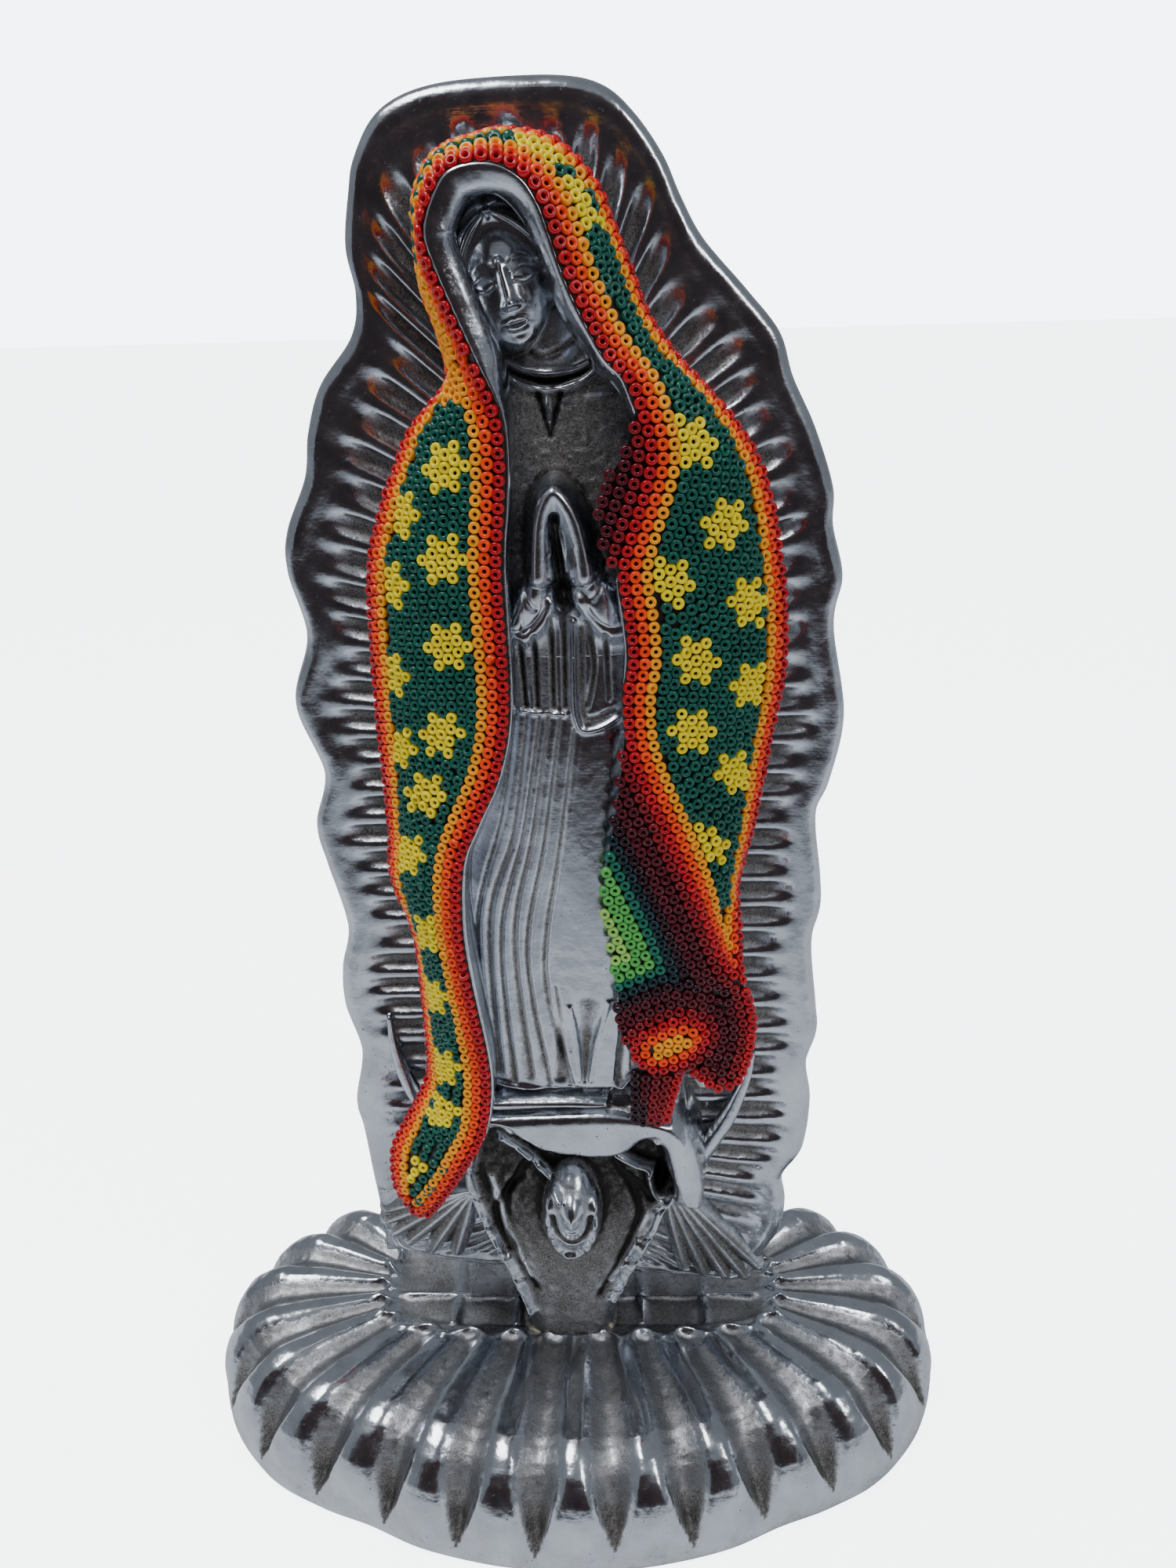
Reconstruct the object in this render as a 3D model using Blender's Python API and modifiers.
"""Beaded figure: a cast-aluminium plaque with a robed figure, glued to a cloud-shaped cast
base, with a mantle of glass seed beads set in wax.

Metres in Blender; every table and constant below is in millimetres and goes through MM.
X is the figure's left-right, Y points away from the viewer, Z is up. The origin is the
middle of the base's underside.
"""

import math

import bmesh
import bpy
import numpy as np

MM = 0.001
NAME = "huichol_beaded_figure"

# ---- driving dimensions -------------------------------------------------------------
GAP = 0.3                # air left between neighbouring pieces
BEAD_PITCH = 2.1         # centre distance of the beads along a course
COURSE_STEP = BEAD_PITCH * math.sqrt(3) / 2    # courses nest, each bead between two others
BEAD_HEIGHT = 1.3        # seed bead, measured along its hole
LAYER_GAP = 0.5          # between the bead, wax and metal layers, which are all faceted
WAX_THICKNESS = 0.6
WAX_MID = -(BEAD_HEIGHT / 2 + LAYER_GAP + WAX_THICKNESS / 2)
METAL_SKIN = -(BEAD_HEIGHT / 2 + 2 * LAYER_GAP + WAX_THICKNESS)
RIM_OVERHANG = 1.9       # metal edge that shows inside the first bead course
CORE_MARGIN = 1.2        # metal past the last course, and short of it where the lining joins
EDGE_COURSES = ("red", "orange", "gold")    # on both edges of the mantle, from the edge in

BASE_FLUTES = 26
BASE_TOP = 20.0          # flat panel on top of the base
BASE_CREST = 23.0
SOCKET_DEPTH = 5.0
PLAQUE_FRONT = 8.0       # Y of the rayed field
PLAQUE_BACK = 14.5
PLAQUE_SPINE = (75, 220)   # upright line that the plaque's rays run out from, lowest and highest Z

# Half of the base's plan, front to back; the other half is its mirror.
BASE_PLAN = [
    (0, -44), (15, -43), (31, -39.5), (43, -34.5), (54, -30.5), (66, -24), (77, -12),
    (83, 4), (81.5, 17), (74, 30), (62, 40), (48, 44.5), (30, 45), (0, 44),
]
PANEL_HALF = (44, 13)    # the flat panel that the flutes run out from
PANEL_CENTRE_Y = 13.0

# Wavy outline of the plaque (X, Z), from the bottom right upwards and round.
PLAQUE_OUTLINE = [
    (39, 27), (43, 35), (46.5, 42), (47.2, 50), (46.4, 57.5), (50.5, 65.5), (51.4, 78),
    (50.1, 88), (51.9, 96), (51.3, 103), (49.7, 117.5), (51, 126), (50.6, 133),
    (49, 146.5), (51.3, 154), (53.1, 167), (50.2, 184), (51.2, 193), (49, 202),
    (48.6, 208.5), (45, 218.5), (41, 226.5), (38.5, 233.5), (33, 240), (26, 247.5),
    (22.4, 253.5), (19.5, 259.5), (15.2, 265.2), (10.5, 269), (4, 270.5), (-7, 270.5),
    (-15.5, 269.8), (-21.5, 268), (-25.5, 265), (-28.5, 260), (-29.6, 256), (-31, 248),
    (-30.1, 241), (-31.5, 234.5), (-37.5, 227), (-40.5, 219.5), (-42, 212), (-46.2, 203),
    (-47.1, 196), (-45.1, 184), (-48.8, 171), (-45.1, 157), (-47.9, 146), (-46.7, 137),
    (-44.3, 123), (-46.5, 113), (-46.9, 104), (-44.7, 92), (-47.2, 79), (-46.5, 72),
    (-45.5, 56), (-44, 40), (-40, 36), (-24, 32), (20, 28.5),
]

# The mantle sheet, one rib per line: the inner edge and the outer edge of the sheet.
# It starts at the lower left tip, climbs over the hood and comes down on the right.
MANTLE_RIBS = [
    ((-31, -8, 61.5), (-33.5, -7, 61)),
    ((-25.5, -10, 70.5), (-37, -5, 66)),
    ((-20.5, -11, 79.5), (-37.5, -4, 72)),
    ((-17.5, -11, 86), (-36.5, -3, 77.5)),
    ((-16, -11, 95), (-31.5, -2, 87)),
    ((-16, -11, 104), (-28.5, -1, 94.5)),
    ((-18, -11, 120), (-28.5, 0.5, 113)),
    ((-19, -11, 133), (-29, 0.5, 126)),
    ((-18, -11, 146), (-32, 0.5, 138)),
    ((-15, -11, 154), (-31.5, 0.5, 149)),
    ((-10.5, -11, 164), (-31.5, 0.5, 160)),
    ((-8, -11, 177), (-31.5, 0.5, 174)),
    ((-8, -11, 199.5), (-30.5, 0.5, 196.5)),
    ((-7, -11, 210), (-27.5, 0.5, 207.5)),
    ((-6.5, -11, 218), (-24.5, 0.5, 214.5)),
    ((-7, -11, 224), (-21, 0.5, 221)),
    ((-9.5, -11, 230.5), (-15, 0.5, 228)),
    ((-12.5, -11, 238), (-15.5, 0.5, 234.5)),
    ((-15, -11, 244.5), (-17.5, 0.5, 241)),
    ((-16, -11, 249), (-18, 0.5, 248)),
    ((-15, -11, 253), (-17.5, 0.5, 254.5)),
    ((-12.5, -11, 257), (-14.5, 0.5, 259.5)),
    ((-9, -11, 258.5), (-9.5, 0.5, 261.5)),
    ((-4.5, -11, 258.5), (-4, 0.5, 262.5)),
    ((-0.5, -11, 256.5), (3, 0.5, 261)),
    ((2, -11, 253), (8.5, 0.5, 256)),
    ((3.5, -11, 249), (11.5, 0.5, 250)),
    ((5.5, -11, 243), (14.5, 0.5, 242.5)),
    ((8, -11, 237.5), (17, 0.5, 236.5)),
    ((11, -11, 232), (22, 0.5, 230)),
    ((14, -11, 228.5), (26.5, 0.5, 225.5)),
    ((16, -11, 223), (31, 0.5, 220)),
    ((17, -11, 217.5), (34.5, 0.5, 214.5)),
    ((16, -11, 212), (37, 0.5, 207)),
    ((13.5, -11, 204), (38.5, 0.5, 199)),
    ((12.5, -11, 199), (39.5, 0.5, 192.5)),
    ((13.5, -11, 191.5), (40, 0.5, 185.5)),
    ((14, -11, 184.5), (40, 0.5, 179)),
    ((13, -11, 178), (39.5, 0.5, 174)),
    ((13.5, -11, 169.5), (38, 0.5, 165)),
    ((15.5, -11, 162.5), (37, 0.5, 157.5)),
    ((19, -11, 154), (35.5, 0.5, 148)),
    ((23, -11, 144), (33.5, 0.5, 138)),
    ((26, -11, 136.5), (33, 0.5, 130.5)),
    ((28.5, -11, 127), (33, 0.5, 121.5)),
]

# First and last rib of each run of beads.
LEFT_RUN = (0.9, 16)
HOOD_RUN = (16, 29)
RIGHT_RUN = (29, 42.4)
RUN_GAP = 0.04            # air at each end of a run, in ribs
FIELD_RUNS = {"left": (2.0, 14.6), "hood": (19.6, 28.2), "right": (30.6, 41.2)}

# The folded-back lining, inner boundary: (rib of the mantle's inner edge, X, Z).
LINING_FRONT = -11.0
LINING_START = 0.84       # first lining edge, in courses from the red course
LINING_UPPER = [
    (31.5, 13, 220.5), (32, 11, 217.5), (33, 9.5, 211.5), (34, 8.7, 205), (34.8, 9.5, 201),
]
LINING_LOWER = [
    (40, 11.5, 162), (41, 10, 154), (42, 8.7, 143), (43, 9, 134), (44, 10.5, 124),
]
LINING_BANDS = {"dark_red": (1, 2), "maroon": (2, 4), "black": (4, 6), "green": (6, 8.4)}

# Flat bead patches at the lower right: outlines in X, Z.
CORNER = [
    (29, 121), (33, 121.5), (35, 116), (35.5, 110), (35, 104), (33.2, 98), (31, 95.6),
    (28, 97), (25.5, 99.5), (27.6, 104), (28, 109), (27, 114),
]
CORNER_FRONT = -9.5
CUFF_CENTRE = (18.6, 108.6)
CUFF_RADII = (7.6, 6.0)
CUFF_FRONT = -12.0
TAIL = [(13.2, 98.9), (22, 98.9), (19.8, 88), (12.6, 88.6)]
TAIL_FRONT = -9.5

# Robe and chest: height, left X, right X, front Y.
BODY_LEVELS = [
    (78, -20, 21, -7.5), (88, -20, 22, -7.2), (100, -19, 24, -6.9), (112, -20, 27, -6.9),
    (125, -21, 27, -6.9), (140, -21, 24, -6.9), (155, -17, 20, -6.9), (165, -13, 18, -6.8),
    (180, -11, 17, -6.5), (200, -11, 17, -6), (215, -9, 20, -5.5), (225, -10, 17, -5),
    (232, -12, 13, -3), (236, -10, 9, 0),
]
# Angel under the robe: height, left X, right X, front Y.
ANGEL_LEVELS = [
    (21, -11, 7, -0.8), (30, -12, 8, -4), (40, -14.5, 11, -8), (52, -18, 15, -10),
    (64, -22, 20, -11), (74, -24, 23, -10), (80, -22, 22, -8),
]
HEAD_TILT = math.radians(14)
HAND_LEAN = 0.08          # radians; the two hands lean together at the fingertips
# Rounded masses of the figure: centre, radii, lean.
ROUND_FORMS = {
    "head": ((-5.3, -3.6, 245.4), (7.4, 6.6, 10.8), HEAD_TILT),
    "hair": ((-5.5, 2.5, 246), (10.5, 8.5, 12), HEAD_TILT),
    "neck": ((0.5, -1.5, 231), (6, 5, 7), 0),
    "left_hand": ((0.3, -9.5, 207), (2.5, 3, 9.2), HAND_LEAN),
    "right_hand": ((4.2, -9.5, 207), (2.5, 3, 9.2), -HAND_LEAN),
    "angel_head": ((-0.2, -10, 56), (5.6, 4.6, 8), 0),
}
# Bars of changing thickness: points, then the radius at each point.
BARS = {
    "left_sleeve": ([(-1.5, -8, 204), (-3, -9.5, 195), (-2.6, -7.5, 185)], (2.6, 3.4, 1.4)),
    "right_sleeve": ([(6, -8, 204), (8, -9.5, 194), (9.2, -7.5, 185)], (2.4, 3.2, 1.4)),
    "drape": ([(-16, -4, 78), (-11, -7, 76), (2, -9.5, 74), (16, -8.5, 75), (24.5, -5, 72),
               (26, -3, 62)], (2, 3.4, 4.5, 4, 3.4, 2)),
    "left_horn": ([(-36, 6.5, 112), (-33.5, 6.5, 98), (-28, 6.5, 80)], (0.8, 1.7, 2.6)),
    "right_horn": ([(36.5, 6.8, 90), (32, 6.8, 78), (24, 6.8, 68)], (0.8, 1.7, 2.6)),
}
# Flat raised parts: outline in X and Z, then front and back Y.
PLATES = {
    "left_wing": ([(-42, 47), (-37, 57), (-22, 60), (-18, 44), (-25, 38)], 1.5, 12.1),
    "right_wing": ([(20, 58), (30, 56), (39, 40), (38.5, 29), (18, 33)], 1.7, 12.3),
}
HOOD_BACK = ((-5.5, 246), (10, 12), 1.0, 9.0)    # oval plug behind the head: centre, radii, Y's
BODY_BACK = 11.3          # the robe, angel, supports and tenon end inside the plaque
ANGEL_BACK = 11.8
CORE_BACK = 11.0
CORNER_BACK = 11.6
LINING_BACK = 4.0
CUFF_BACK = -2.0

FOOT = (-11.0, 7.0, -0.5, 12.5)      # foot tenon: X from, X to, Y from, Y to
FOOT_TOP = 36.0
GLUE_GAP = 1.2
GLUE_LIP = 0.7            # glue squeezed out above the panel
CUT_RISE = 5.0            # how far a cutter stands out of the surface that it cuts
LINING_DROP = 0.4         # metal behind the lining lies this much deeper than elsewhere

# Linear base colour, metallic, roughness.
COLOURS = {
    "aluminium": ((0.42, 0.44, 0.47), 1.0, 0.28),
    "wax": ((0.05, 0.03, 0.02), 0.0, 0.6),
    "epoxy": ((0.55, 0.50, 0.38), 0.0, 0.5),
    "red": ((0.45, 0.01, 0.01), 0.0, 0.2),
    "orange": ((0.90, 0.12, 0.005), 0.0, 0.2),
    "gold": ((0.85, 0.35, 0.01), 0.0, 0.2),
    "yellow": ((0.75, 0.65, 0.01), 0.0, 0.2),
    "field_green": ((0.005, 0.13, 0.09), 0.0, 0.2),
    "dark_red": ((0.18, 0.01, 0.015), 0.0, 0.2),
    "maroon": ((0.08, 0.01, 0.015), 0.0, 0.2),
    "black": ((0.015, 0.008, 0.01), 0.0, 0.2),
    "green": ((0.10, 0.40, 0.12), 0.0, 0.2),
}


# ---- scene and object helpers -------------------------------------------------------
def clear_scene():
    for obj in list(bpy.data.objects):
        bpy.data.objects.remove(obj, do_unlink=True)


def new_collection(name):
    collection = bpy.data.collections.new(name)
    bpy.context.scene.collection.children.link(collection)
    return collection


def make_material(name):
    colour, metallic, roughness = COLOURS[name]
    material = bpy.data.materials.new(name)
    material.use_nodes = True
    shader = material.node_tree.nodes["Principled BSDF"]
    shader.inputs["Base Color"].default_value = (*colour, 1.0)
    shader.inputs["Metallic"].default_value = metallic
    shader.inputs["Roughness"].default_value = roughness
    return material


def new_object(name, vertices, faces, collection):
    mesh = bpy.data.meshes.new(name)
    mesh.from_pydata([tuple(c * MM for c in v) for v in vertices], [], faces)
    mesh.update()
    obj = bpy.data.objects.new(name, mesh)
    collection.objects.link(obj)
    return obj


def finish(obj, material_name, smooth_angle=40):
    obj.data.materials.clear()
    obj.data.materials.append(MATERIALS[material_name])
    obj.data.shade_smooth()
    obj.data.set_sharp_from_angle(angle=math.radians(smooth_angle))
    return obj


def loft(name, rings, collection):
    """Closed solid through equal-length closed rings, with a cap on both ends."""
    size = len(rings[0])
    vertices = [point for ring in rings for point in ring]
    faces = []
    for row in range(len(rings) - 1):
        for i in range(size):
            a = row * size + i
            b = row * size + (i + 1) % size
            faces.append((a, b, b + size, a + size))
    faces.append(tuple(reversed(range(size))))
    faces.append(tuple(range((len(rings) - 1) * size, len(rings) * size)))
    obj = new_object(name, vertices, faces, collection)
    bm = bmesh.new()
    bm.from_mesh(obj.data)
    bmesh.ops.triangulate(bm, faces=[f for f in bm.faces if len(f.verts) > 4])
    bmesh.ops.recalc_face_normals(bm, faces=bm.faces)
    bm.to_mesh(obj.data)
    bm.free()
    return obj


def prism(name, outlines, front, back, collection):
    """Flat outline in X and Z, thick from front to back in Y; further outlines are holes."""
    curve = bpy.data.curves.new(name, "CURVE")
    curve.dimensions = "2D"
    curve.fill_mode = "BOTH"
    curve.extrude = (back - front) / 2 * MM
    for outline in outlines:
        spline = curve.splines.new("POLY")
        spline.points.add(len(outline) - 1)
        for point, (x, z) in zip(spline.points, outline):
            point.co = (x * MM, z * MM, 0, 1)
        spline.use_cyclic_u = True
    shape = bpy.data.objects.new(name + "_outline", curve)
    shape.rotation_euler = (math.pi / 2, 0, 0)
    shape.location = (0, (front + back) / 2 * MM, 0)
    collection.objects.link(shape)
    return mesh_from_curve(shape, name, collection)


def rod(name, points, radii, collection):
    """Round bar of changing radius through the points."""
    curve = bpy.data.curves.new(name, "CURVE")
    curve.dimensions = "3D"
    curve.bevel_depth = MM
    curve.bevel_resolution = 2
    curve.use_fill_caps = True
    spline = curve.splines.new("POLY")
    spline.points.add(len(points) - 1)
    for point, place, radius in zip(spline.points, points, radii):
        point.co = (*(c * MM for c in place), 1)
        point.radius = radius
    shape = bpy.data.objects.new(name + "_path", curve)
    collection.objects.link(shape)
    return mesh_from_curve(shape, name, collection)


def mesh_from_curve(shape, name, collection):
    bpy.context.view_layer.update()
    evaluated = shape.evaluated_get(bpy.context.evaluated_depsgraph_get())
    mesh = bpy.data.meshes.new_from_object(evaluated)
    mesh.transform(shape.matrix_world)
    bm = bmesh.new()
    bm.from_mesh(mesh)
    bmesh.ops.remove_doubles(bm, verts=bm.verts, dist=0.00001)
    bmesh.ops.recalc_face_normals(bm, faces=bm.faces)
    bm.to_mesh(mesh)
    bm.free()
    bpy.data.objects.remove(shape, do_unlink=True)
    obj = bpy.data.objects.new(name, mesh)
    collection.objects.link(obj)
    return obj


def ellipsoid(name, centre, radii, collection, tilt=0.0):
    bm = bmesh.new()
    bmesh.ops.create_uvsphere(bm, u_segments=14, v_segments=9, radius=1.0)
    mesh = bpy.data.meshes.new(name)
    bm.to_mesh(mesh)
    bm.free()
    obj = bpy.data.objects.new(name, mesh)
    collection.objects.link(obj)
    obj.scale = [r * MM for r in radii]
    obj.rotation_euler = (0, tilt, 0)
    obj.location = [c * MM for c in centre]
    return obj


def box(name, lower, upper, collection):
    bm = bmesh.new()
    bmesh.ops.create_cube(bm, size=1.0)
    for vertex in bm.verts:
        for axis in range(3):
            middle = (lower[axis] + upper[axis]) / 2
            span = upper[axis] - lower[axis]
            vertex.co[axis] = (middle + vertex.co[axis] * span) * MM
    mesh = bpy.data.meshes.new(name)
    bm.to_mesh(mesh)
    bm.free()
    obj = bpy.data.objects.new(name, mesh)
    collection.objects.link(obj)
    return obj


def combine(obj, other, operation):
    modifier = obj.modifiers.new(operation.lower() + "_" + other.name, "BOOLEAN")
    modifier.operation = operation
    modifier.solver = "EXACT"
    modifier.object = other
    other.hide_render = True
    other.display_type = "WIRE"


# ---- curves -------------------------------------------------------------------------
def smooth_point(points, t, closed=False):
    """Catmull-Rom curve through the points; t counts points."""
    count = len(points)
    base = int(math.floor(t))
    if not closed:
        base = max(0, min(base, count - 2))
    f = t - base
    picks = []
    for k in (-1, 0, 1, 2):
        index = (base + k) % count if closed else max(0, min(base + k, count - 1))
        picks.append(np.array(points[index], float))
    a, b, c, d = picks
    return 0.5 * (2 * b + (c - a) * f + (2 * a - 5 * b + 4 * c - d) * f ** 2
                  + (3 * b - a - 3 * c + d) * f ** 3)


def smooth_line(points, steps, closed=True):
    count = len(points) if closed else len(points) - 1
    total = count * steps
    return [smooth_point(points, i / steps, closed) for i in range(total + (not closed))]


def even_line(points, count):
    """The same closed line, resampled to evenly spaced points."""
    loop = np.vstack([points, points[:1]])
    lengths = np.concatenate([[0], np.cumsum(np.linalg.norm(np.diff(loop, axis=0), axis=1))])
    targets = np.linspace(0, lengths[-1], count, endpoint=False)
    return np.stack([np.interp(targets, lengths, loop[:, k]) for k in range(loop.shape[1])], 1)


# ---- the mantle sheet ---------------------------------------------------------------
INNER_EDGE = [rib[0] for rib in MANTLE_RIBS]
OUTER_EDGE = [rib[1] for rib in MANTLE_RIBS]


def rib_curve(u):
    """Cross-section of the mantle at rib u: points from the inner to the outer edge."""
    start = smooth_point(INNER_EDGE, u)
    end = smooth_point(OUTER_EDGE, u)
    across = end - start
    depth = np.array([0, across[1], 0])
    side = across - depth
    steepness = float(depth @ depth / (across @ across))
    first = start + 0.42 * side + 0.34 * steepness * depth
    second = end - 0.2 * side - 0.55 * depth
    t = np.linspace(0, 1, 33)[:, None]
    return ((1 - t) ** 3 * start + 3 * (1 - t) ** 2 * t * first
            + 3 * (1 - t) * t ** 2 * second + t ** 3 * end)


def rib_width(u):
    return float(np.linalg.norm(np.diff(rib_curve(u), axis=0), axis=1).sum())


def sheet_point(u, s):
    """Point on the mantle at rib u, s mm round the section from the inner edge."""
    curve = rib_curve(u)
    lengths = np.concatenate([[0], np.cumsum(np.linalg.norm(np.diff(curve, axis=0), axis=1))])
    if s < 0:
        return curve[0] + (curve[0] - curve[1]) / lengths[1] * -s
    if s > lengths[-1]:
        last = curve[-1] - curve[-2]
        return curve[-1] + last / np.linalg.norm(last) * (s - lengths[-1])
    return np.array([np.interp(s, lengths, curve[:, k]) for k in range(3)])


def sheet_normal(u, s):
    lift = 0.2
    along = sheet_point(u + lift, s) - sheet_point(u - lift, s)
    across = sheet_point(u, s + lift) - sheet_point(u, s - lift)
    normal = np.cross(along, across)
    return normal / np.linalg.norm(normal)


def sheet_strip(name, run, low, high, across, offset, thickness, material, collection):
    """Strip of the mantle between the distances low(u) and high(u), as a thin shell."""
    grid = []
    ribs = whole_steps(*run)
    rows = len(ribs) - 1
    for u in ribs:
        for j in range(across + 1):
            s = low(u) + (high(u) - low(u)) * j / across
            grid.append(sheet_point(u, s) + sheet_normal(u, s) * offset)
    return shell_from_grid(name, grid, rows, across, thickness, material, collection)


def whole_steps(start, end):
    """The start, every whole number between, and the end."""
    inner = range(math.floor(start) + 1, math.ceil(end))
    return [start, *inner, end]


def shell_from_grid(name, grid, rows, across, thickness, material, collection):
    faces = []
    for i in range(rows):
        for j in range(across):
            a = i * (across + 1) + j
            faces.append((a, a + 1, a + across + 2, a + across + 1))
    obj = new_object(name, grid, faces, collection)
    modifier = obj.modifiers.new("thickness", "SOLIDIFY")
    modifier.thickness = thickness * MM
    modifier.offset = 0
    return finish(obj, material)


# ---- castings -----------------------------------------------------------------------
def build_base():
    half = smooth_line(BASE_PLAN, 4, closed=False)
    mirrored = [(-x, y) for x, y in reversed(half[1:-1])]
    plan = even_line(np.array([tuple(p) for p in half] + mirrored), BASE_FLUTES * 2)
    angles = np.arctan2(plan[:, 1] - PANEL_CENTRE_Y, plan[:, 0])
    # superellipse with nearly straight sides
    power = 0.45
    panel = np.stack([
        PANEL_HALF[0] * np.sign(np.cos(angles)) * np.abs(np.cos(angles)) ** power,
        PANEL_CENTRE_Y + PANEL_HALF[1] * np.sign(np.sin(angles)) * np.abs(np.sin(angles)) ** power,
    ], 1)
    # distance in from the plan outline and height, on a lobe and in a valley
    band = [(1.2, 0), (0.2, 1.0), (0, 3.2), (0.9, 5.5)]
    lobe = [(2.0, 6.6), (1.5, 9), (2.3, 13.5), (4.6, 18), (8.5, 21.4), (13, BASE_CREST)]
    valley = [(2.8, 6.2), (4.2, 9), (5.6, 13.5), (8, 17.2), (11.5, 19.6), (15.5, 21)]
    rings = []
    for inset, height in band:
        rings.append(flute_ring(plan, panel, [(inset, height)] * 2))
    for pair in zip(lobe, valley):
        rings.append(flute_ring(plan, panel, pair))
    for share, lobe_height, valley_height in ((0.62, 22, 20.8), (0.85, 20.7, 20.2)):
        ring = plan + (panel - plan) * share
        heights = [valley_height if i % 2 else lobe_height for i in range(len(plan))]
        rings.append([(x, y, h) for (x, y), h in zip(ring, heights)])
    rings.append([(x, y, BASE_TOP) for x, y in panel])
    base = loft("base_casting", rings, PARTS)
    x0, x1, y0, y1 = FOOT
    grow = GLUE_GAP
    socket = box("socket", (x0 - grow, y0 - grow, BASE_TOP - SOCKET_DEPTH),
                 (x1 + grow, y1 + grow, BASE_TOP + CUT_RISE), GUIDES)
    combine(base, socket, "DIFFERENCE")
    return finish(base, "aluminium", 60)


def flute_ring(plan, panel, pair):
    ring = []
    for i, (outer, inner) in enumerate(zip(plan, panel)):
        inset, height = pair[i % 2]
        run = inner - outer
        length = np.linalg.norm(run)
        place = outer + run / length * min(inset, 0.5 * length)
        ring.append((place[0], place[1], height))
    return ring


def build_plaque():
    outline = np.array(smooth_line(PLAQUE_OUTLINE, 2))
    spine = np.stack([np.full(len(outline), 1.0), np.clip(outline[:, 1], *PLAQUE_SPINE)], 1)
    inward = spine - outline
    inward /= np.linalg.norm(inward, axis=1)[:, None]
    # inset from the outline and Y, from the field round the rim to the back
    section = [
        (6, PLAQUE_FRONT), (4.6, PLAQUE_FRONT - 0.4), (2.6, 6.2), (1.0, 6.6), (0, 9),
        (0.4, 12.5), (2.2, PLAQUE_BACK), (6, PLAQUE_BACK), (9, PLAQUE_BACK - 1.5),
    ]
    rings = [[(x, y, z) for (x, z), y in zip(outline + inward * inset, [depth] * len(outline))]
             for inset, depth in section]
    return loft("figure_casting", rings, PARTS)


def build_mantle_core():
    rings = []
    for u in range(len(MANTLE_RIBS)):
        width = rib_width(u)
        ring = []
        lined = LINING_UPPER[0][0] <= u <= LINING_UPPER[-1][0] or u >= LINING_LOWER[0][0]
        overhang = -CORE_MARGIN if lined else RIM_OVERHANG
        for s in np.linspace(-overhang, width + CORE_MARGIN, 8):
            ring.append(tuple(sheet_point(u, s) + sheet_normal(u, s) * METAL_SKIN))
        outer = ring[-1]
        inner = ring[0]
        ring.append((outer[0], CORE_BACK, outer[2]))
        ring.append((inner[0], CORE_BACK, inner[2]))
        rings.append(ring)
    return loft("mantle_core", rings, GUIDES)


def level_loft(name, levels, back):
    """Half-round body: each level gives a height, its left and right X and its front Y."""
    rings = []
    for z, left, right, front in levels:
        middle = (left + right) / 2
        half = (right - left) / 2
        ring = []
        for k in range(9):
            angle = math.pi * k / 8
            x = middle - half * math.copysign(abs(math.cos(angle)) ** 0.6, math.cos(angle))
            y = 4 + (front - 4) * math.sin(angle) ** 0.6 if 0 < k < 8 else 4
            ring.append((x, y, z))
        ring.append((right, back, z))
        ring.append((left, back, z))
        rings.append(ring)
    return loft(name, rings, GUIDES)


def build_figure():
    figure = build_plaque()
    pieces = [build_mantle_core()]
    pieces.append(level_loft("body_core", BODY_LEVELS, BODY_BACK))
    pieces.append(level_loft("angel_body", ANGEL_LEVELS, ANGEL_BACK))
    for name, (centre, radii, lean) in ROUND_FORMS.items():
        pieces.append(ellipsoid(name, centre, radii, GUIDES, lean))
    for name, (points, radii) in BARS.items():
        pieces.append(rod(name, points, radii, GUIDES))
    for name, (outline, front, back) in PLATES.items():
        pieces.append(prism(name, [outline], front, back, GUIDES))
    centre, radii, front, back = HOOD_BACK
    pieces.append(prism("hood_back", [oval(centre, radii, 20)], front, back, GUIDES))
    pieces.append(prism("corner_support", [CORNER], CORNER_FRONT - METAL_SKIN, CORNER_BACK, GUIDES))
    lining_metal = LINING_FRONT - METAL_SKIN + LINING_DROP
    for name, boundary in (("upper", LINING_UPPER), ("lower", LINING_LOWER)):
        outline = lining_outline(boundary)
        pieces.append(prism(f"lining_core_{name}", [outline], lining_metal, LINING_BACK, GUIDES))
    cuff = oval(CUFF_CENTRE, CUFF_RADII, 20)
    pieces.append(prism("cuff_support", [cuff], CUFF_FRONT - METAL_SKIN, CUFF_BACK, GUIDES))
    x0, x1, y0, y1 = FOOT
    tenon_bottom = BASE_TOP - SOCKET_DEPTH + GLUE_GAP
    pieces.append(box("tenon", (x0, y0, tenon_bottom), (x1, y1, FOOT_TOP), GUIDES))
    for piece in pieces:
        combine(figure, piece, "UNION")
    return finish(figure, "aluminium", 50)


def build_epoxy():
    """Thin cup of glue between the tenon and its socket, with a lip above the panel."""
    x0, x1, y0, y1 = FOOT
    grow = GLUE_GAP - GAP
    glue = box("epoxy_joint", (x0 - grow, y0 - grow, BASE_TOP - SOCKET_DEPTH + GAP),
               (x1 + grow, y1 + grow, BASE_TOP + GLUE_LIP), PARTS)
    hollow = box("epoxy_hollow", (x0 - GAP, y0 - GAP, BASE_TOP - SOCKET_DEPTH + GLUE_GAP - GAP),
                 (x1 + GAP, y1 + GAP, BASE_TOP + CUT_RISE), GUIDES)
    combine(glue, hollow, "DIFFERENCE")
    return finish(glue, "epoxy")


# ---- wax and beads ------------------------------------------------------------------
def course_edges(course, from_outer):
    """Distances from the inner edge of one bead course's two sides."""
    centre = course * COURSE_STEP
    half = (COURSE_STEP - GAP) / 2
    if from_outer:
        return (lambda u: rib_width(u) - centre - half, lambda u: rib_width(u) - centre + half)
    return (lambda u: centre - half, lambda u: centre + half)


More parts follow.
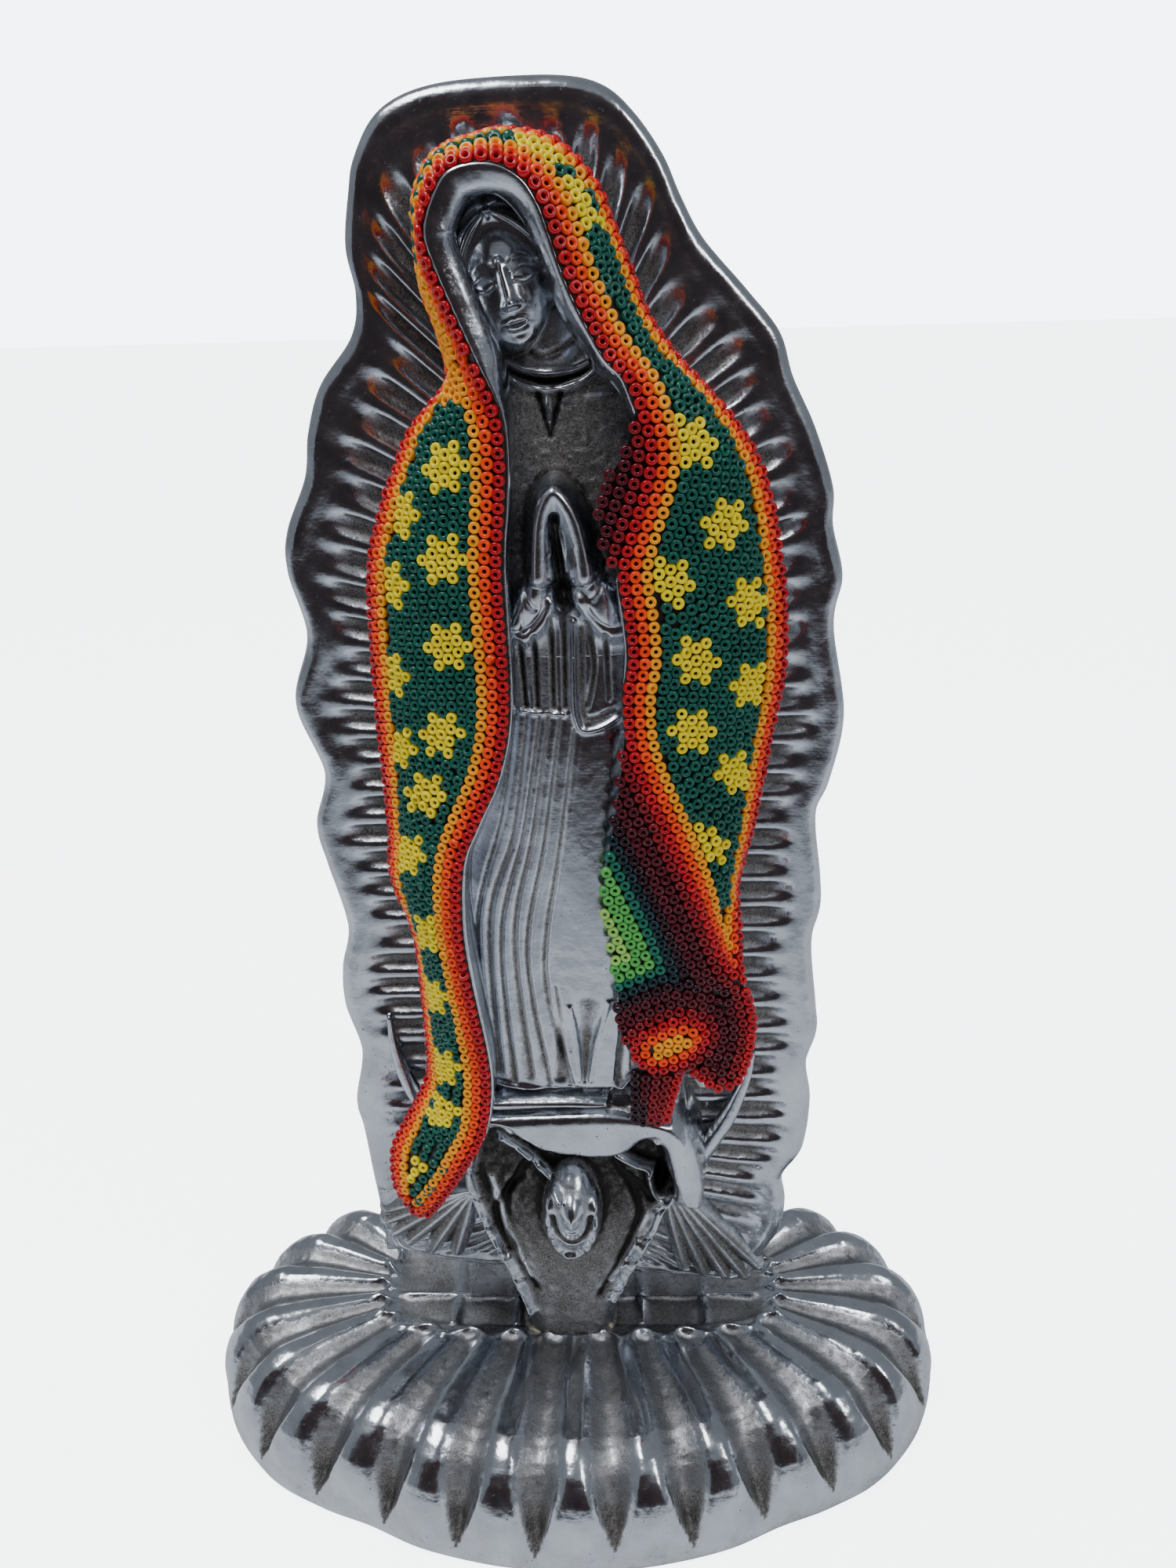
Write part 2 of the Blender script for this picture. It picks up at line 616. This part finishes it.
def build_mantle_beads(side, run):
    edge = BEAD_PITCH / 2
    sheet_strip(f"wax_bed_{side}", shorten(run), lambda u: -edge, lambda u: rib_width(u) + edge,
                6, WAX_MID, WAX_THICKNESS, "wax", PARTS)
    for from_outer in (False, True):
        place = "outer" if from_outer else "inner"
        for course, colour in enumerate(EDGE_COURSES):
            low, high = course_edges(course, from_outer)
            sheet_strip(f"{side}_{colour}_{place}", shorten(run), low, high, 1, 0, BEAD_HEIGHT,
                        colour, PARTS)
    margin = (len(EDGE_COURSES) - 0.5) * COURSE_STEP + GAP / 2
    sheet_strip(f"{side}_star_field", FIELD_RUNS[side], lambda u: margin,
                lambda u: rib_width(u) - margin, 2 if side == "hood" else 6, 0, BEAD_HEIGHT,
                "field_green", PARTS)


def shorten(run):
    """Leaves air at both ends of a run of ribs."""
    return (run[0] + RUN_GAP, run[1] - RUN_GAP)


def lining_point(boundary, t, columns):
    """Point between the mantle's inner edge and the lining's free boundary."""
    u, x, z = smooth_point(boundary, t)
    start = smooth_point(INNER_EDGE, u)
    end = np.array([x, LINING_FRONT, z])
    run = end - start
    return start + run / np.linalg.norm(run) * columns * COURSE_STEP


def lining_width(boundary, t):
    u, x, z = smooth_point(boundary, t)
    run = np.array([x, LINING_FRONT, z]) - smooth_point(INNER_EDGE, u)
    return np.linalg.norm(run) / COURSE_STEP


def lining_outline(boundary):
    """Outline in X and Z of the metal behind a piece of lining."""
    steps = range(len(boundary))
    edge = [smooth_point(INNER_EDGE, boundary[t][0]) for t in steps]
    free = [(x, z) for u, x, z in reversed(boundary)]
    return [(p[0], p[2]) for p in edge] + free


def lining_band(name, boundary, span, first, last, offset, thickness, material):
    """Band of the lining between two column numbers; last None runs to the boundary."""
    steps = whole_steps(*span)
    rows = len(steps) - 1
    inset = GAP / 2 / COURSE_STEP
    grid = []
    for t in steps:
        end = lining_width(boundary, t) + 0.4 if last is None else last
        start = LINING_START if first == 1 else first - 0.5
        for column in (start + inset, end - 0.5 - inset):
            grid.append(lining_point(boundary, t, column) + np.array([0, -offset, 0]))
    return shell_from_grid(name, grid, rows, 1, thickness, material, PARTS)


def build_lining():
    top = (0.0, len(LINING_UPPER) - 1)
    low = (0.0, len(LINING_LOWER) - 1)
    lining_band("wax_bed_lining_upper", LINING_UPPER, top, 1, None, WAX_MID, WAX_THICKNESS, "wax")
    lining_band("lining_upper_maroon", LINING_UPPER, top, 1, None, 0, BEAD_HEIGHT, "maroon")
    lining_band("wax_bed_lining_lower", LINING_LOWER, low, 1, None, WAX_MID, WAX_THICKNESS, "wax")
    spans = {"dark_red": (0.0, 4), "maroon": (0.3, 4), "black": (1.4, 4), "green": (1.9, 4)}
    for colour, (first, last) in LINING_BANDS.items():
        lining_band(f"lining_{colour}", LINING_LOWER, spans[colour], first, last, 0,
                    BEAD_HEIGHT, colour)


def oval(centre, radii, count):
    return [(centre[0] + radii[0] * math.cos(2 * math.pi * i / count),
             centre[1] + radii[1] * math.sin(2 * math.pi * i / count)) for i in range(count)]


def build_patch(name, outlines, front, material):
    half = BEAD_HEIGHT / 2
    return finish(prism(name, outlines, front - half, front + half, PARTS), material)


def build_wax_patch(name, outline, front):
    middle = front - WAX_MID
    half = WAX_THICKNESS / 2
    return finish(prism(name, [outline], middle - half, middle + half, PARTS), "wax")


def build_lower_right():
    build_wax_patch("wax_bed_corner", CORNER, CORNER_FRONT)
    build_patch("corner_lining", [CORNER], CORNER_FRONT, "dark_red")
    build_wax_patch("wax_bed_tail", TAIL, TAIL_FRONT)
    build_patch("tail_lining", [TAIL], TAIL_FRONT, "maroon")
    outer = oval(CUFF_CENTRE, CUFF_RADII, 20)
    build_wax_patch("wax_bed_cuff", outer, CUFF_FRONT)
    rings = {"red": (0, 1), "orange": (1, 2), "yellow": (2, None)}
    for colour, (first, last) in rings.items():
        outlines = [cuff_oval(first * COURSE_STEP + (GAP if first else 0))]
        if last is not None:
            outlines.append(cuff_oval(last * COURSE_STEP))
        build_patch(f"cuff_{colour}", outlines, CUFF_FRONT, colour)


def cuff_oval(inset):
    return oval(CUFF_CENTRE, (CUFF_RADII[0] - inset, CUFF_RADII[1] - inset), 20)


clear_scene()
PARTS = new_collection(NAME)
GUIDES = new_collection("guides")
MATERIALS = {name: make_material(name) for name in COLOURS}
build_base()
build_figure()
build_epoxy()
build_mantle_beads("left", LEFT_RUN)
build_mantle_beads("hood", HOOD_RUN)
build_mantle_beads("right", RIGHT_RUN)
build_lining()
build_lower_right()
